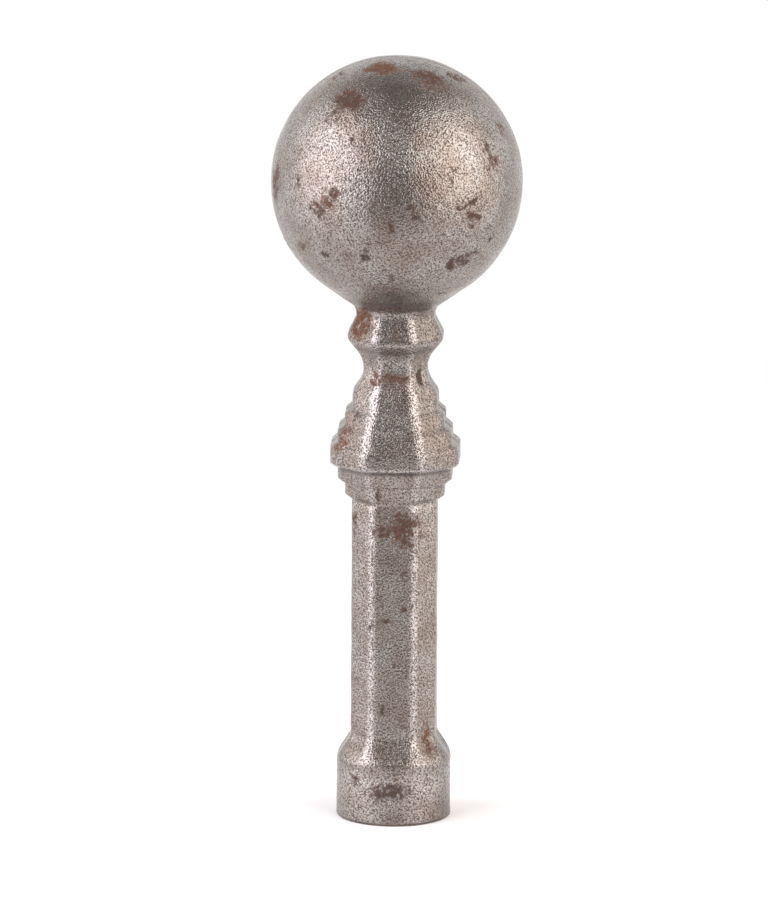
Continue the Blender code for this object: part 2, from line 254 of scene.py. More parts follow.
def length(name, default, description):
    return FloatProperty(name=name, default=default, description=description, min=0.0, unit="LENGTH",
                         subtype="DISTANCE", precision=5)


def share(name, default, description):
    return FloatProperty(name=name, default=default, description=description, min=0.0, max=1.0,
                         subtype="FACTOR")


def colour(name, default, description):
    return FloatVectorProperty(name=name, default=linear(default), description=description, size=3,
                               min=0.0, max=1.0, subtype="COLOR")


class FinialSizes(bpy.types.PropertyGroup):
    """Sizes of the casting, from the foot up."""

    foot_diameter: length("Foot diameter", 23.35 * MM, "Width of the round foot")
    foot_height: length("Foot height", 12.5 * MM, "Height of the foot below the flare")
    foot_edge_round: length("Foot edge", 0.4 * MM, "Rounding of the foot's lower edge")
    foot_shoulder_round: length("Foot shoulder", 2.65 * MM, "Rounding where the flare meets the foot")
    flare_height: length("Flare height", 4.55 * MM, "Height of the cone between the shaft and the foot")
    flare_cove: length("Flare cove", 2.0 * MM, "Hollow rounding where the shaft meets the flare")
    facet_run_out: length("Facet run-out", 2.5 * MM, "How far the shaft's faces go on into the foot")
    shaft_across_flats: length("Shaft width", 17.42 * MM, "Width of the shaft across its wide faces")
    shaft_length: length("Shaft length", 49.15 * MM, "Length of the shaft between the flare and the bulb")
    step_count: IntProperty(name="Steps", default=3, min=1, description="Steps of the bulb, each way")
    step_out: length("Step out", 1.46 * MM, "How far each step of the bulb stands out")
    step_edge_round: length("Step edge", 0.45 * MM, "Rounding of the steps' outer edges")
    lower_tread_height: length("Lower tread", 0.95 * MM, "Height of the slope under each lower step")
    lower_riser_height: length("Lower riser", 2.44 * MM, "Height of each lower step's upright face")
    band_height: length("Band", 3.37 * MM, "Height of the bulb's widest band")
    upper_tread_height: length("Upper tread", 1.2 * MM, "Height of the slope over each upper step")
    upper_riser_height: length("Upper riser", 2.19 * MM, "Height of each upper step's upright face")
    shoulder_round: length("Shoulder", 2.2 * MM, "Rounding at the top of the bulb")
    front_slope_drop: length("Front slope's start", 0.9 * MM, "How far below the waist it starts")
    front_slope_cove: length("Front slope's cove", 4.0 * MM, "Hollow rounding where it starts")
    front_band_round: length("Front band", 2.0 * MM, "Rounding where the front slope meets the band")
    front_lip_round: length("Front lip", 1.2 * MM, "Rounding of the band's lower edge in front")
    front_step_share: share("Steps in front", 0.15, "How much of each step the front and back keep")
    diagonal_step_share: share("Steps between", 0.35, "How much of each step the diagonal faces keep")
    waist_across_flats: length("Waist width", 13.07 * MM, "Width of the waist across its wide faces")
    waist_rise: length("Waist rise", 5.67 * MM, "Height of the waist's middle above the bulb")
    waist_cove: length("Waist cove", 6.05 * MM, "Radius of the waist's hollow")
    knop_across_flats: length("Knop width", 19.3 * MM, "Width of the knop across its wide faces")
    knop_rise: length("Knop rise", 6.62 * MM, "Height of the knop's middle above the waist's")
    knop_round: length("Knop rounding", 1.75 * MM, "Radius of the knop's rim")
    neck_across_flats: length("Neck width", 15.95 * MM, "Width of the neck under the ball")
    neck_rise: length("Neck rise", 4.4 * MM, "Height of the neck's middle above the knop's")
    neck_cove: length("Neck cove", 2.3 * MM, "Radius of the neck's hollow")
    ball_diameter: length("Ball diameter", CAD_BALL, "Width of the ball, from the solid casting")
    ball_lower_depth: length("Ball's lower depth", 25.7 * MM, "Depth of the ball below its equator")
    ball_run_off: FloatProperty(name="Ball run-off", default=math.radians(54.6),
                                description="Angle below the equator where the ball turns into the neck",
                                subtype="ANGLE", unit="ROTATION")
    shaft_face_share: share("Shaft faces", 0.50, "Half a wide face as a share of half the shaft's width")
    shaft_arris: length("Shaft arrises", 3.0 * MM, "Radius on the shaft's long edges")
    bulb_face_share: share("Bulb faces", 0.46, "Half a wide face as a share of half the bulb's width")
    bulb_arris: length("Bulb arrises", 3.6 * MM, "Radius on the bulb's edges, rubbed rounder than cast")
    waist_face_share: share("Waist faces", 0.46, "Half a wide face as a share of half the waist's width")
    waist_arris: length("Waist arrises", 1.7 * MM, "Radius on the waist's edges")
    knop_face_share: share("Knop faces", 0.42, "Half a wide face as a share of half the knop's width")
    knop_arris: length("Knop arrises", 3.2 * MM, "Radius on the knop's edges")
    ball_grid: length("Ball grid", 0.5 * MM, "Width of the skin's grid on the ball")
    moulding_grid: length("Moulding grid", 0.25 * MM, "Height of the skin's grid from the bulb to the neck")
    stem_grid: length("Stem grid", 0.42 * MM, "Height of the skin's grid on the shaft and the foot")


class FinialColours(bpy.types.PropertyGroup):
    """Colours of the casting's skin and of the floor."""

    iron: colour("Blasted iron", "#a39e9a", "Clean metal after blasting")
    # Painted highlights on the rims and arrises, partly real wear of the arrises
    bright: colour("Rubbed iron", "#c0bab8", "Arrises and rims rubbed bright")
    # Painted shade: the darker brown laid on the faces in the level bands, more on the diagonal faces
    scale: colour("Dull scale", "#6e655e", "Thicker brown film on the faces that are touched least")
    film: colour("Brown film", "#8b7f77", "Thin warm film over the metal")
    # The pit colour also paints the shade in the crease lines and the shadow at the foot's edge
    pit: colour("Pits", "#42342f", "Dark scale left in pits and specks")
    brown_rust: colour("Brown rust", "#21150f", "Old, dense rust")
    orange_rust: colour("Orange rust", "#6b3f25", "Fresh, thin rust")
    floor: colour("Floor", "#f4f3f4", "Matt white floor")


def blend(low, high, part):
    return low + (high - low) * part


def eased(part):
    """A share from 0 to 1 that starts and ends gently."""
    part = min(max(part, 0.0), 1.0)
    return part * part * (3 - 2 * part)


def arc(centre, radius, start, end, step):
    """Points (out, up) on an arc from one angle to another, both ends included."""
    count = max(1, math.ceil(abs(end - start) / step - 1e-6))
    angles = [blend(start, end, i / count) for i in range(count + 1)]
    return [(centre[0] + radius * math.cos(a), centre[1] + radius * math.sin(a)) for a in angles]


def rounded(corners, step):
    """A line through (out, up, radius) corners with each corner rounded by an arc of its radius.

    A radius is kept short enough for the straight runs beside its corner.
    """
    points = []
    for i, (out, up, radius) in enumerate(corners):
        if radius == 0 or i in (0, len(corners) - 1):
            points.append((out, up))
            continue
        back = (corners[i - 1][0] - out, corners[i - 1][1] - up)
        ahead = (corners[i + 1][0] - out, corners[i + 1][1] - up)
        room = CORNER_ROOM * min(math.hypot(*back), math.hypot(*ahead))
        turn = math.atan2(back[0] * ahead[1] - back[1] * ahead[0], back[0] * ahead[0] + back[1] * ahead[1])
        half_turn = abs(turn) / 2
        radius = min(radius, room * math.tan(half_turn))
        away = radius / math.sin(half_turn)
        middle = math.atan2(back[1], back[0]) + turn / 2
        centre = (out + away * math.cos(middle), up + away * math.sin(middle))
        reach = math.pi / 2 - half_turn
        sign = math.copysign(1, turn)
        towards = middle + math.pi
        points += arc(centre, radius, towards + sign * reach, towards - sign * reach, step)
    return points


def ogee(top, bottom, top_round, bottom_round, step):
    """An S-curve from one upright (out, up) point down to another: two arcs and the line that joins them.

    Where the height is too short for both arcs, they are made smaller together.
    """
    spread = abs(top[0] - bottom[0])
    height = top[1] - bottom[1]
    most = (spread * spread + height * height) / (2 * spread)
    fit = min(1.0, OGEE_ROOM * most / (top_round + bottom_round))
    top_round *= fit
    bottom_round *= fit
    side = 1 if bottom[0] > top[0] else -1
    both = top_round + bottom_round
    apart = (both - spread, height)
    lean = math.acos(both / math.hypot(*apart)) if both < math.hypot(*apart) else 0.0
    turn = math.atan2(apart[1], apart[0]) - lean
    top_centre = (top[0] + side * top_round, top[1])
    bottom_centre = (bottom[0] - side * bottom_round, bottom[1])
    if side > 0:
        upper = arc(top_centre, top_round, math.pi, math.pi + turn, step)
        lower = arc(bottom_centre, bottom_round, turn, 0.0, step)
    else:
        upper = arc(top_centre, top_round, 0.0, -turn, step)
        lower = arc(bottom_centre, bottom_round, math.pi - turn, math.pi, step)
    return upper + lower


def run_off_lean(s):
    """How far below level the surface faces where the ball runs into the neck's cone."""
    stretch = s.ball_lower_depth / (s.ball_diameter / 2)
    return math.atan(math.tan(s.ball_run_off) / stretch)


def heights(s):
    """Heights of the forms above the underside, each stacked on the one below."""
    at = {"foot_top": s.foot_height}
    at["shaft_foot"] = at["foot_top"] + s.flare_height
    at["shaft_top"] = at["shaft_foot"] + s.shaft_length
    below = s.step_count * s.lower_tread_height + (s.step_count - 1) * s.lower_riser_height
    at["band_foot"] = at["shaft_top"] + below
    at["band_top"] = at["band_foot"] + s.band_height
    at["shoulder"] = at["band_top"] + s.step_count * (s.upper_tread_height + s.upper_riser_height)
    at["waist"] = at["shoulder"] + s.waist_rise
    at["knop"] = at["waist"] + s.knop_rise
    at["neck"] = at["knop"] + s.neck_rise
    lean = run_off_lean(s)
    cove_out = s.neck_across_flats / 2 + s.neck_cove
    ball_out = s.ball_diameter / 2 * math.cos(s.ball_run_off)
    fall = (s.neck_cove - (cove_out - ball_out) * math.cos(lean)) / math.sin(lean)
    at["ball"] = at["neck"] + s.ball_lower_depth * math.sin(s.ball_run_off) + fall
    return at


def step_corners(s, at):
    """Corners of the bulb's steps from the top riser down to the shaft, as (out, up, radius)."""
    shaft_out = s.shaft_across_flats / 2
    corners = []
    up = at["shoulder"]
    for step in range(s.step_count):
        up -= s.upper_riser_height
        corners.append((shaft_out + step * s.step_out, up, 0))
        up -= s.upper_tread_height
        corners.append((shaft_out + (step + 1) * s.step_out, up, s.step_edge_round))
    up = at["band_foot"]
    for step in reversed(range(s.step_count)):
        corners.append((shaft_out + (step + 1) * s.step_out, up, s.step_edge_round))
        up -= s.lower_tread_height
        corners.append((shaft_out + step * s.step_out, up, 0))
        up -= s.lower_riser_height
    return corners


def front_line(s, at):
    """The bulb's outline on its front and back without any step, as (out, up) from the waist to the shaft."""
    shaft_out = s.shaft_across_flats / 2
    waist_out = s.waist_across_flats / 2
    band_out = shaft_out + s.step_count * s.step_out
    corners = [
        (waist_out, at["waist"], 0),
        (waist_out, at["waist"] - s.front_slope_drop, s.front_slope_cove),
        (band_out, at["band_top"], s.front_band_round),
        (band_out, at["band_foot"], s.front_lip_round),
        (band_out - s.step_out, at["band_foot"] - s.lower_tread_height, 0),
        (shaft_out, at["shaft_top"], 0),
    ]
    return rounded(corners, FRONT_ARC_STEP)


def profile(s, at):
    """The outline of a side face's middle, as (out, up) from the ball's top to the underside's centre."""
    ball_round = s.ball_diameter / 2
    shaft_out = s.shaft_across_flats / 2
    foot_out = s.foot_diameter / 2
    knop = (s.knop_across_flats / 2, at["knop"])
    neck = (s.neck_across_flats / 2, at["neck"])
    waist = (s.waist_across_flats / 2, at["waist"])
    shoulder = (shaft_out, at["shoulder"])
    neck_cove_centre = (neck[0] + s.neck_cove, neck[1])

    line = arc((0.0, at["ball"]), ball_round, math.pi / 2, 0.0, ARC_STEP)
    below = arc((0.0, 0.0), 1.0, 0.0, -s.ball_run_off, ARC_STEP)
    line += [(x * ball_round, at["ball"] + y * s.ball_lower_depth) for x, y in below[1:]]
    line += arc(neck_cove_centre, s.neck_cove, math.pi - run_off_lean(s), math.pi, ARC_STEP)
    line += ogee(neck, knop, s.neck_cove, s.knop_round, ARC_STEP)[1:]
    line += ogee(knop, waist, s.knop_round, s.waist_cove, ARC_STEP)[1:]
    line += ogee(waist, shoulder, s.waist_cove, s.shoulder_round, ARC_STEP)[1:]
    steps = [(*shoulder, 0), *step_corners(s, at), (shaft_out, at["shaft_foot"], 0)]
    line += rounded(steps, ARC_STEP)[1:-1]
    foot = [
        (shaft_out, at["shaft_top"], 0),
        (shaft_out, at["shaft_foot"], s.flare_cove),
        (foot_out, at["foot_top"], s.foot_shoulder_round),
        (foot_out, 0.0, s.foot_edge_round),
        (0.0, 0.0, 0),
    ]
    return line + rounded(foot, ARC_STEP)[1:]


def even_line(s, at):
    """The outline with its points spread as the grid asks: wide on the ball, close on the mouldings."""
    line = np.array(profile(s, at))
    runs = np.hypot(*np.diff(line, axis=0).T)
    middle_up = (line[1:, 1] + line[:-1, 1]) / 2
    moulded = (middle_up > at["shaft_top"] - s.step_out) & (middle_up < at["neck"] + s.neck_cove)
    on_ball = middle_up >= at["neck"] + s.neck_cove
    grid = np.where(on_ball, s.ball_grid, np.where(moulded, s.moulding_grid, s.stem_grid))
    rows = np.concatenate([[0.0], np.cumsum(runs / grid)])
    wanted = np.linspace(0.0, rows[-1], math.ceil(rows[-1]) + 1)
    return np.column_stack([np.interp(wanted, rows, line[:, i]) for i in (0, 1)])


def section_at(s, up, at):
    """Face share, arris radius and roundness, from 0 for eight-sided to 1 for round, at a height."""
    stations = [
        (at["shaft_foot"], s.shaft_face_share, s.shaft_arris),
        (at["shaft_top"] - s.step_out, s.shaft_face_share, s.shaft_arris),
        (at["shaft_top"], s.bulb_face_share, s.bulb_arris),
        (at["shoulder"], s.bulb_face_share, s.bulb_arris),
        (at["waist"], s.waist_face_share, s.waist_arris),
        (at["knop"], s.knop_face_share, s.knop_arris),
    ]
    face_share, arris = stations[0][1:]
    for low, high in zip(stations, stations[1:]):
        way = eased((up - low[0]) / (high[0] - low[0]))
        face_share = blend(face_share, high[1], way)
        arris = blend(arris, high[2], way)
    round_below = eased((at["shaft_foot"] - up) / (s.flare_height + s.facet_run_out))
    round_above = eased((up - at["neck"]) / s.neck_cove)
    return face_share, arris, max(round_below, round_above)


def outs_at(s, out, up, at, front):
    """How far out the diagonal and the front faces are at a height where the side faces are this far out.

    The diagonal's figure is that of the wide faces it would have on both sides of it.
    """
    if not at["shaft_top"] < up < at["waist"]:
        return out, out
    outs, ups = zip(*reversed(front))
    straight = float(np.interp(up, ups, outs))
    return blend(straight, out, s.diagonal_step_share), blend(straight, out, s.front_step_share)


def ring(s, out, up, at, front, columns):
    """Points evenly round the axis at one height, along faces and arrises.

    With them go how much each is on a worn arris, which also takes a painted highlight, and how much on a
    diagonal face.
    """
    face_share, arris, roundness = section_at(s, up, at)
    face_share = blend(face_share, ROUND_SHARE, roundness)
    radius = blend(min(arris, ARRIS_ROOM * out), out, roundness)
    between, front_out = outs_at(s, out, up, at, front)
    diagonal = between * (1 + face_share) / math.sqrt(2)
    distances = (out, diagonal, front_out, diagonal)
    per_side = columns // SIDES
    sine = math.sin(SIDE_ANGLE)
    points = []
    traits = []
    for side in range(SIDES):
        here = side * SIDE_ANGLE
        after = here + SIDE_ANGLE
        near = distances[side % HALF_TURN_SIDES]
        far = distances[(side + 1) % HALF_TURN_SIDES]
        centre_x = ((near - radius) * math.sin(after) - (far - radius) * math.sin(here)) / sine
        centre_y = ((far - radius) * math.cos(here) - (near - radius) * math.cos(after)) / sine
        first_flat = centre_y * math.cos(here) - centre_x * math.sin(here)
        last_flat = centre_x * math.sin(after) - centre_y * math.cos(after)
        bend = radius * SIDE_ANGLE
        beside_front = FRONT_SIDE in (side % HALF_TURN_SIDES, (side + 1) % HALF_TURN_SIDES)
        for i in range(per_side):
            walked = (first_flat + bend + last_flat) * i / per_side
            on_bend = min(max(walked - first_flat, 0.0), bend)
            angle = here + on_bend / radius
            along = walked - first_flat - on_bend
            x = centre_x + radius * math.cos(angle) - along * math.sin(angle)
            y = centre_y + radius * math.sin(angle) + along * math.cos(angle)
            points.append((x, y, up))
            wear_and_highlight_share = 1.0 if beside_front else SIDE_WEAR_AND_HIGHLIGHT
            round_bend = on_bend / bend
            arris = wear_and_highlight_share * math.sin(math.pi * round_bend)
            diagonal_face = 1 - round_bend if side % 2 else round_bend
            traits.append(((1 - roundness) * arris, (1 - roundness) * diagonal_face))
    return points, traits


def columns_for(s, out):
    """How many points a ring has: halved as often as the ring's width allows, so that no face is a sliver."""
    columns = MOST_COLUMNS
    while columns > LEAST_COLUMNS and math.tau * out / columns < SLIVER_SHARE * s.ball_grid:
        columns //= 2
    return columns


def band_faces(upper, lower):
    """Faces between two rings of point numbers, of which one may have twice as many points as the other."""
    count = min(len(upper), len(lower))
    faces = []
    for i in range(count):
        after = (i + 1) % count
        if len(upper) == len(lower):
            faces.append((upper[i], lower[i], lower[after], upper[after]))
        elif len(upper) > len(lower):
            half = 2 * i + 1
            faces.append((upper[2 * i], lower[i], upper[half]))
            faces.append((upper[half], lower[i], lower[after]))
            faces.append((upper[half], lower[after], upper[(2 * i + 2) % len(upper)]))
        else:
            half = 2 * i + 1
            faces.append((upper[i], lower[2 * i], lower[half]))
            faces.append((upper[i], lower[half], upper[after]))
            faces.append((upper[after], lower[half], lower[(2 * i + 2) % len(lower)]))
    return faces


def turned_mesh(s, at):
    """The plain form of the casting as one closed mesh, from the ball's top to the underside's centre."""
    line = even_line(s, at)
    front = front_line(s, at)
    points = [(0.0, 0.0, line[0][1])]
    traits = [(0.0, 0.0)]
    faces = []
    before = None
    for out, up in line[1:-1]:
        columns = columns_for(s, out)
        numbers = range(len(points), len(points) + columns)
        round_points, their_traits = ring(s, out, up, at, front, columns)
        points += round_points
        traits += their_traits
        if before is None:
            faces += [(0, numbers[i], numbers[(i + 1) % columns]) for i in range(columns)]
        else:
            faces += band_faces(before, numbers)
        before = numbers
    points.append((0.0, 0.0, 0.0))
    traits.append((0.0, 0.0))
    last = len(points) - 1
    faces += [(last, before[(i + 1) % len(before)], before[i]) for i in range(len(before))]
    mesh = bpy.data.meshes.new(PIECE)
    mesh.from_pydata(points, [], faces)
    mesh.shade_smooth()
    return mesh, np.array(traits).T


def scattered_marks(s, at):
    """Rust marks for the sides and the back, in the same terms as those named above."""
    chance = random.Random(SCATTER_SEED)
    top = at["ball"] + SCATTER_TOP * s.ball_diameter / 2
    marks = []
    for i in range(SCATTER_ON_BALL + SCATTER_ON_STEM):
        on_ball = i < SCATTER_ON_BALL
        low, high = (at["neck"], top) if on_ball else (0.0, at["neck"])
        sizes = BALL_MARK_SIZE if on_ball else STEM_MARK_SIZE
        size = chance.uniform(*sizes) * chance.uniform(*MARK_SHRINK)
        marks.append(dict(
            height=chance.uniform(low, high) / MM,
            turn=chance.uniform(FRONT_HALF, 360.0 - FRONT_HALF),
            wide=size,
            tall=size * chance.uniform(*MARK_TALLNESS),
            strength=chance.uniform(*MARK_STRENGTH),
            orange=chance.choice(MARK_ORANGES),
        ))
    return marks


def surface_point(s, at, mark):
    """The point on the casting's outline at a mark's height and turn, in mm."""
    line = np.array(profile(s, at)) / MM
    falling = line[::-1]
    out = np.interp(mark["height"], falling[:, 1], falling[:, 0])
    turn = math.radians(mark["turn"])
    return np.array([out * math.sin(turn), -out * math.cos(turn), mark["height"]])


def rust_on(points, s, at):
    """How rusty each point is, and how orange its rust is, both from 0 to 1."""
    rust = np.zeros(len(points))
    orange = np.zeros(len(points))
    noise.seed_set(RUST_BEND_SEED)
    stray = np.array([noise.noise_vector(Vector(point)) for point in points / RUST_BEND_WIDTH])
    bent = points + RUST_BEND * stray
    for mark in [*RUST_MARKS.values(), *scattered_marks(s, at)]:
        centre = surface_point(s, at, mark)
        turn = math.radians(mark["turn"])
        across = np.array([math.cos(turn), math.sin(turn), 0.0])
        offset = bent - centre
        sideways = offset @ across
        rest = np.sqrt(np.maximum((offset ** 2).sum(1) - sideways ** 2, 0.0))
        reach = np.hypot(sideways / (mark["wide"] / 2), rest / (mark["tall"] / 2))
        cover = mark["strength"] * np.clip(RUST_REACH - reach, 0.0, 1.0)
        orange = np.where(cover > rust, mark["orange"], orange)
        rust = np.maximum(rust, cover)
    return rust, orange


def noise_at(points, width, patch=0):
    """Smooth noise from -1 to 1 at points in mm, with lumps of about this width, from a patch of its own."""
    return np.array([noise.noise(Vector(point)) for point in (points + patch * PATCH_APART) / width])


def dents_at(points):
    """How deep the small round dents are at each point, in mm."""
    chance = random.Random(DENT_SEED)
    tree = kdtree.KDTree(len(points))
    for i, point in enumerate(points):
        tree.insert(point, i)
    tree.balance()
    depth = np.zeros(len(points))
    for _ in range(DENT_COUNT):
        middle = points[chance.randrange(len(points))]
        radius = chance.uniform(*DENT_RADIUS)
        deep = chance.uniform(*DENT_DEPTH)
        for _, i, away in tree.find_range(middle, radius):
            depth[i] = max(depth[i], deep * (1 - (away / radius) ** 2) ** 2)
    return depth


def in_lines(points, lines):
    """How strongly each point lies in level lines round the casting, from 0 to 1."""
    strength = np.zeros(len(points))
    for line in lines.values():
        reach = (points[:, 2] - line["height"]) / line["half"]
        strength = np.maximum(strength, line["strength"] * np.exp(-reach ** 2))
    return strength


def carve(mesh, arris, diagonal, s, at):
    """Gives the plain form its casting skin, inwards only, and stores the rust, the wear with its painted
    highlights and the painted shade on its points.
    """
    count = len(mesh.vertices)
    points = np.empty(count * 3)
    mesh.vertices.foreach_get("co", points)
    points = points.reshape(-1, 3) / MM
    normals = np.empty(count * 3)
    mesh.vertex_normals.foreach_get("vector", normals)
    normals = normals.reshape(-1, 3)
    rust, orange = rust_on(points, s, at)
    seam = np.exp(-(points[:, 1] / SEAM_WIDTH) ** 2)
    # Painted shade from the crease lines and the foot's edge, with the real dark of the mould's seam
    seam_and_shade = np.maximum(in_lines(points, CREASE_SHADE_LINES), SEAM_GRIME * seam)
    # Painted shade on the faces in those bands, more on the diagonal ones
    face_shade = in_lines(points, FACE_SHADE_LINES) * blend(FRONT_FACE_SHADE, 1.0, diagonal)
    wear_and_highlight_share = WEAR_AND_HIGHLIGHT_MIDDLE + WEAR_AND_HIGHLIGHT_SPREAD * noise_at(points, WEAR_AND_HIGHLIGHT_WIDTH, patch=4)
    # Painted highlights on the arrises and rims, partly real wear of the arrises
    wear_and_highlight = np.maximum(arris, in_lines(points, RIM_HIGHLIGHT_LINES)) * wear_and_highlight_share

    relief = SWELL_DEPTH * noise_at(points, SWELL_WIDTH)
    relief += LUMP_DEPTH * noise_at(points, LUMP_WIDTH, patch=1)
    relief += GRAIN_DEPTH * noise_at(points, GRAIN_WIDTH, patch=2)
    relief += RUST_DEPTH * rust * noise_at(points, RUST_WIDTH, patch=3)
    relief -= dents_at(points) + SEAM_DEPTH * seam
    wander = RIPPLE_WANDER * noise_at(points, SWELL_WIDTH, patch=5)
    ripples = (1 + np.sin(math.tau * points[:, 2] / RIPPLE_WIDTH + wander)) / 2
    relief -= RIPPLE_DEPTH * in_lines(points, RIPPLED_LINES) * ripples
    relief = np.minimum(relief - (SWELL_DEPTH + LUMP_DEPTH) / 2, 0.0)
    relief *= np.clip(points[:, 2] / FOOT_FADE, 0.0, 1.0)
    points += normals * relief[:, None]
    mesh.vertices.foreach_set("co", (points * MM).ravel())
    stored = {"rust": rust, "orange": orange, "seam_and_shade": seam_and_shade, "wear_and_highlight": wear_and_highlight, "face_shade": face_shade}
    for name, values in stored.items():
        mesh.attributes.new(name, "FLOAT", "POINT").data.foreach_set("value", values.astype(np.float32))
    mesh.update()


def add_node(tree, kind, inputs=None, output=None, **settings):
    """Adds a node and gives back its first output in use, or the one named.

    Settings are its own properties. Inputs are values, or outputs to link, by socket name or number.
    """
    node = tree.nodes.new(kind)
    for name, value in settings.items():
        setattr(node, name, value)
    for key, value in (inputs or {}).items():
        named = [socket for socket in node.inputs if socket.enabled and socket.name == key]
        socket = named[0] if named else node.inputs[key]
        if isinstance(value, bpy.types.NodeSocket):
            tree.links.new(value, socket)
        else:
            socket.default_value = value
    in_use = [socket for socket in node.outputs if socket.enabled]
    if output:
        return node.outputs[output]
    return in_use[0] if in_use else None


def per(width_mm):
    """Scale of a pattern whose forms are this many millimetres wide, on coordinates in metres."""
    return 1 / (width_mm * MM)


def opaque(rgb):
    return (*rgb, 1.0)


def shot_blasted_cast_iron(colours):
    """Cast iron, shot-blasted: bare metal whose pitted grain breaks its gloss into fine sparkle, a thin warm
    film where it has begun to turn, and matt brown and orange rust that lets some metal through."""
    material = bpy.data.materials.new("shot_blasted_cast_iron")
    material.use_nodes = True
    tree = material.node_tree
    tree.nodes.clear()
    place = add_node(tree, "ShaderNodeTexCoord", output="Object")
    rust = add_node(tree, "ShaderNodeAttribute", output="Fac", attribute_name="rust")
    orange = add_node(tree, "ShaderNodeAttribute", output="Fac", attribute_name="orange")
    # Painted shade in the creases and at the foot's edge, with the dark of the mould's seam
    seam_and_shade = add_node(tree, "ShaderNodeAttribute", output="Fac", attribute_name="seam_and_shade")
    wear_and_highlight = add_node(tree, "ShaderNodeAttribute", output="Fac", attribute_name="wear_and_highlight")
    face_shade = add_node(tree, "ShaderNodeAttribute", output="Fac", attribute_name="face_shade")

    # Film: clouds of some 7 mm, with finer mottling inside them
    cloud = add_node(tree, "ShaderNodeTexNoise",
                     {"Vector": place, "Scale": per(7.0), "Detail": 5.0, "Roughness": 0.6})
    film = add_node(tree, "ShaderNodeMapRange",
                    {"Value": cloud, "From Min": 0.36, "From Max": 0.66})
    filmed = add_node(tree, "ShaderNodeMix",
                      {"Factor": film, "A": opaque(colours.iron), "B": opaque(colours.film)},
                      data_type="RGBA")
    # Painted shade: darker brown on the faces in the level bands
    face_shaded = add_node(tree, "ShaderNodeMix", {"Factor": face_shade, "A": filmed, "B": opaque(colours.scale)},
                      data_type="RGBA")
    # Lighter iron on the arrises and rims: painted highlights, partly real wear
    metal = add_node(tree, "ShaderNodeMix", {"Factor": wear_and_highlight, "A": face_shaded, "B": opaque(colours.bright)},
                     data_type="RGBA")

    # Rust: the marks stored on the mesh, torn and mottled by noise of 1 mm, so that metal shows through
    tear = add_node(tree, "ShaderNodeTexNoise",
                    {"Vector": place, "Scale": per(1.1), "Detail": 5.0, "Roughness": 0.85})
    torn = add_node(tree, "ShaderNodeMath", {0: tear, 1: 0.5}, operation="SUBTRACT")
    edge = add_node(tree, "ShaderNodeMath", {0: torn, 1: 4.0, 2: rust}, operation="MULTIPLY_ADD")
    cover = add_node(tree, "ShaderNodeMapRange",
                     {"Value": edge, "From Min": 0.38, "From Max": 0.9, "To Max": 0.9})
    hue = add_node(tree, "ShaderNodeMath", {0: torn, 1: 2.6, 2: orange},
                   operation="MULTIPLY_ADD", use_clamp=True)
    oxide = add_node(tree, "ShaderNodeMix",
                     {"Factor": hue, "A": opaque(colours.brown_rust), "B": opaque(colours.orange_rust)},
                     data_type="RGBA")
    coated = add_node(tree, "ShaderNodeMix", {"Factor": cover, "A": metal, "B": oxide},
                      data_type="RGBA")

    # Grain: the dents that the shot leaves, some 0.4 mm wide, with dark scale in their bottoms
    shot = add_node(tree, "ShaderNodeTexNoise",
                    {"Vector": place, "Scale": per(0.36), "Detail": 1.0, "Roughness": 0.5})
    hollow = add_node(tree, "ShaderNodeMapRange",
                      {"Value": shot, "From Min": 0.56, "From Max": 0.34, "To Max": 0.9})
    speck = add_node(tree, "ShaderNodeTexNoise",
                     {"Vector": place, "Scale": per(1.3), "Detail": 3.0, "Roughness": 0.65})
    pits = add_node(tree, "ShaderNodeMapRange",
                    {"Value": speck, "From Min": 0.38, "From Max": 0.26, "To Max": 0.9})
    pitting = add_node(tree, "ShaderNodeMath", {0: hollow, 1: pits}, operation="MAXIMUM")
    # The pit colour also paints the shade in the creases and the shadow at the foot's edge
    pits_seam_and_shade = add_node(tree, "ShaderNodeMath", {0: pitting, 1: seam_and_shade}, operation="MAXIMUM")
    pitted_and_shaded = add_node(tree, "ShaderNodeMix", {"Factor": pits_seam_and_shade, "A": coated, "B": opaque(colours.pit)},
                      data_type="RGBA")

    # Less metal in the pits, in the painted shade lines and under rust
    dull = add_node(tree, "ShaderNodeMath", {0: pits_seam_and_shade, 1: 0.5, 2: cover}, operation="MULTIPLY_ADD")
    bare = add_node(tree, "ShaderNodeMapRange", {"Value": dull, "To Min": 1.0, "To Max": 0.0})
    gloss = add_node(tree, "ShaderNodeMapRange", {"Value": cover, "To Min": 0.26, "To Max": 0.8})
    bump = add_node(tree, "ShaderNodeBump",
                    {"Height": shot, "Distance": 0.17 * MM, "Strength": 1.0})
    sheen = add_node(tree, "ShaderNodeMapRange", {"Value": cover, "To Min": 0.5, "To Max": 0.15})
    surface = add_node(tree, "ShaderNodeBsdfPrincipled",
                       {"Base Color": pitted_and_shaded, "Metallic": bare, "Roughness": gloss,
                        "Specular IOR Level": sheen, "Normal": bump})
    add_node(tree, "ShaderNodeOutputMaterial", {"Surface": surface})
    return material


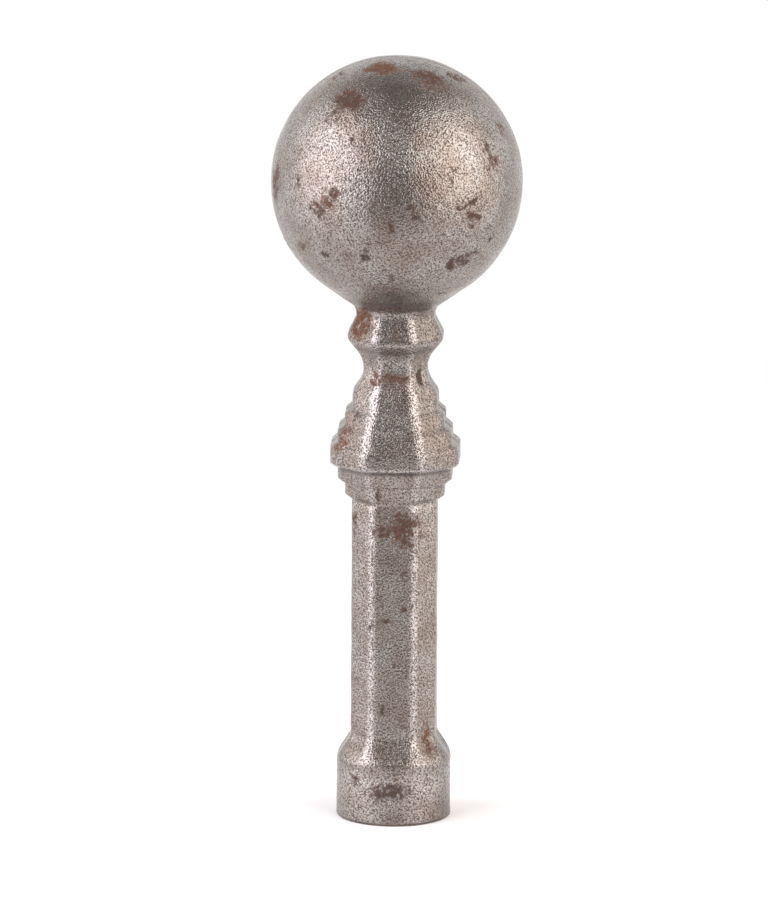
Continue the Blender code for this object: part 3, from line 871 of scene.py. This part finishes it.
class FINIAL_OT_skin(bpy.types.Operator):
    """Build the casting's skin and put it in the place of the plain casting"""

    bl_idname = "finial.skin"
    bl_label = "Casting skin"

    def execute(self, context):
        s = context.scene.finial_sizes
        at = heights(s)
        top = at["ball"] + s.ball_diameter / 2
        if abs(top - CAD_HEIGHT) > HEIGHT_SLACK:
            raise RuntimeError(f"the skin is {top:.5f} m tall and the casting {CAD_HEIGHT:.5f} m")
        mesh, (arris, diagonal) = turned_mesh(s, at)
        carve(mesh, arris, diagonal, s, at)
        mesh.materials.append(shot_blasted_cast_iron(context.scene.finial_colours))
        skin = bpy.data.objects.new(PIECE, mesh)
        context.scene.collection.objects.link(skin)
        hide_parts(NODE)
        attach(skin, BODY)
        return {"FINISHED"}


# Stage
FLOOR_WIDE = 0.9
FLOOR_DEEP = 0.45
FLOOR_FADE = 0.2  # share of the way out at which the floor begins to fade into what is round it
FLOOR_GLOW = 0.08
FLOOR_CORNERS = 96
ROOM_FRONT = 0.2
ROOM_BACK = 1.2
ROOM_CEILING = 0.27
LIGHT_DISTANCE = 0.75
LIGHT_WIDE = 1.02
LIGHT_TALL = 1.15
LEFT_TURN = -66.0  # degrees round the axis from the camera
RIGHT_TURN = 64.0
LIGHT_RISE = 20.0  # degrees above level
LIGHT_AIM_HEIGHT = 0.13
LEFT_TINT = "#fffafd"
RIGHT_TINT = "#fff7f0"
LEFT_WATTS = 10.9
RIGHT_WATTS = 10.0


def lit_opal_acrylic(colours):
    """A white opal sheet, matt and even, lit faintly from below. Its edge fades into the white round it."""
    material = bpy.data.materials.new("lit_opal_acrylic")
    material.use_nodes = True
    tree = material.node_tree
    tree.nodes.clear()
    place = add_node(tree, "ShaderNodeTexCoord", output="Object")
    away = add_node(tree, "ShaderNodeVectorMath", {0: place}, "Value", operation="LENGTH")
    fade = add_node(tree, "ShaderNodeMapRange",
                    {"Value": away, "From Min": FLOOR_FADE, "From Max": 1.0, "To Min": 1.0, "To Max": 0.0},
                    interpolation_type="SMOOTHSTEP")
    surface = add_node(tree, "ShaderNodeBsdfPrincipled",
                       {"Base Color": opaque(colours.floor), "Roughness": 0.9,
                        "Specular IOR Level": 0.0, "Emission Color": opaque(colours.floor),
                        "Emission Strength": FLOOR_GLOW, "Alpha": fade})
    add_node(tree, "ShaderNodeOutputMaterial", {"Surface": surface})
    return material


def white_room():
    """World: white to the eye, while the metal mirrors a white room that is dim in front and overhead."""
    world = bpy.data.worlds.new("white_room")
    world.use_nodes = True
    tree = world.node_tree
    tree.nodes.clear()
    way = add_node(tree, "ShaderNodeTexCoord", output="Generated")
    depth = add_node(tree, "ShaderNodeSeparateXYZ", {"Vector": way}, output="Y")
    height = add_node(tree, "ShaderNodeSeparateXYZ", {"Vector": way}, output="Z")
    walls = add_node(tree, "ShaderNodeMapRange",
                     {"Value": depth, "From Min": -0.7, "From Max": 0.4,
                      "To Min": ROOM_FRONT, "To Max": ROOM_BACK}, interpolation_type="SMOOTHSTEP")
    rise = add_node(tree, "ShaderNodeMapRange",
                    {"Value": height, "From Min": 0.55, "From Max": 0.9},
                    interpolation_type="SMOOTHSTEP")
    room = add_node(tree, "ShaderNodeMix",
                    {"Factor": rise, "A": walls, "B": ROOM_CEILING},
                    data_type="FLOAT")
    seen = add_node(tree, "ShaderNodeLightPath", output="Is Camera Ray")
    strength = add_node(tree, "ShaderNodeMix", {"Factor": seen, "A": room, "B": 1.0},
                        data_type="FLOAT")
    sky = add_node(tree, "ShaderNodeBackground", {"Color": (1.0, 1.0, 1.0, 1.0), "Strength": strength})
    add_node(tree, "ShaderNodeOutputWorld", {"Surface": sky})
    return world


def soft_box(name, turn, tint, watts):
    """A soft light at a turn round the axis from the camera, aimed at the ball."""
    turn = math.radians(turn)
    rise = math.radians(LIGHT_RISE)
    aim = Vector((0.0, 0.0, LIGHT_AIM_HEIGHT))
    away = Vector((math.sin(turn) * math.cos(rise), -math.cos(turn) * math.cos(rise), math.sin(rise)))
    light = bpy.data.lights.new(name, "AREA")
    light.shape = "RECTANGLE"
    light.size = LIGHT_WIDE
    light.size_y = LIGHT_TALL
    light.energy = watts
    light.color = linear(tint)
    lamp = bpy.data.objects.new(name, light)
    lamp.location = aim + LIGHT_DISTANCE * away
    lamp.rotation_euler = away.to_track_quat("Z", "Y").to_euler()
    bpy.context.scene.collection.objects.link(lamp)


class FINIAL_OT_stage(bpy.types.Operator):
    """Add the white floor, the room and the two soft lights"""

    bl_idname = "finial.stage"
    bl_label = "Floor and light"

    def execute(self, context):
        mesh = bpy.data.meshes.new("floor")
        angles = np.linspace(0.0, math.tau, FLOOR_CORNERS, endpoint=False)
        points = [(math.cos(a), math.sin(a), 0.0) for a in angles]
        mesh.from_pydata(points, [], [tuple(range(len(points)))])
        mesh.materials.append(lit_opal_acrylic(context.scene.finial_colours))
        floor = bpy.data.objects.new("floor", mesh)
        floor.scale = (FLOOR_WIDE, FLOOR_DEEP, 1.0)
        context.scene.collection.objects.link(floor)
        context.scene.world = white_room()
        soft_box("soft_box_left", LEFT_TURN, LEFT_TINT, LEFT_WATTS)
        soft_box("soft_box_right", RIGHT_TURN, RIGHT_TINT, RIGHT_WATTS)
        context.scene.view_settings.view_transform = "Standard"
        return {"FINISHED"}


# Camera, on a 36 mm sensor along the picture's long side
LENS = 359.2
CAMERA_TURN = 2.5  # degrees round the axis to the right of the front face
CAMERA_PITCH = 12.34  # degrees down
CAMERA_ROLL = 0.3
CAMERA_AWAY = 1.7798
CAMERA_HEIGHT = 0.4649
CAMERA_LEFT = 0.0023  # how far it stands left of the line through the axis


class FINIAL_OT_camera(bpy.types.Operator):
    """Add the camera, a long lens a little above the finial's top"""

    bl_idname = "finial.camera"
    bl_label = "Camera"

    def execute(self, context):
        data = bpy.data.cameras.new("camera")
        data.lens = LENS
        data.sensor_width = 36.0
        turn = Matrix.Rotation(math.radians(CAMERA_TURN), 4, "Z")
        pitch = Matrix.Rotation(math.radians(90.0 - CAMERA_PITCH), 4, "X")
        roll = Matrix.Rotation(math.radians(CAMERA_ROLL), 4, "Z")
        camera = bpy.data.objects.new("camera", data)
        stand = Matrix.Translation((-CAMERA_LEFT, -CAMERA_AWAY, CAMERA_HEIGHT))
        camera.matrix_world = turn @ stand @ pitch @ roll
        context.scene.collection.objects.link(camera)
        context.scene.camera = camera
        return {"FINISHED"}


class FINIAL_PT_panel(bpy.types.Panel):
    """The finial's sizes, colours and building steps in the 3D view's sidebar"""

    bl_idname = "FINIAL_PT_panel"
    bl_label = "Ball finial"
    bl_space_type = "VIEW_3D"
    bl_region_type = "UI"
    bl_category = "Finial"

    def draw(self, context):
        for step in (FINIAL_OT_skin, FINIAL_OT_stage, FINIAL_OT_camera):
            self.layout.operator(step.bl_idname)
        for group in (context.scene.finial_sizes, context.scene.finial_colours):
            box = self.layout.box()
            for name in group.__annotations__:
                box.prop(group, name)


CLASSES = (FinialSizes, FinialColours, FINIAL_OT_skin, FINIAL_OT_stage, FINIAL_OT_camera, FINIAL_PT_panel)


def register():
    for each in CLASSES:
        bpy.utils.register_class(each)
    bpy.types.Scene.finial_sizes = PointerProperty(type=FinialSizes)
    bpy.types.Scene.finial_colours = PointerProperty(type=FinialColours)


def unregister():
    del bpy.types.Scene.finial_colours
    del bpy.types.Scene.finial_sizes
    for each in reversed(CLASSES):
        bpy.utils.unregister_class(each)


def main():
    register()
    bpy.ops.finial.camera()
    bpy.ops.finial.skin()
    bpy.ops.finial.stage()


if __name__ == "__main__":
    main()
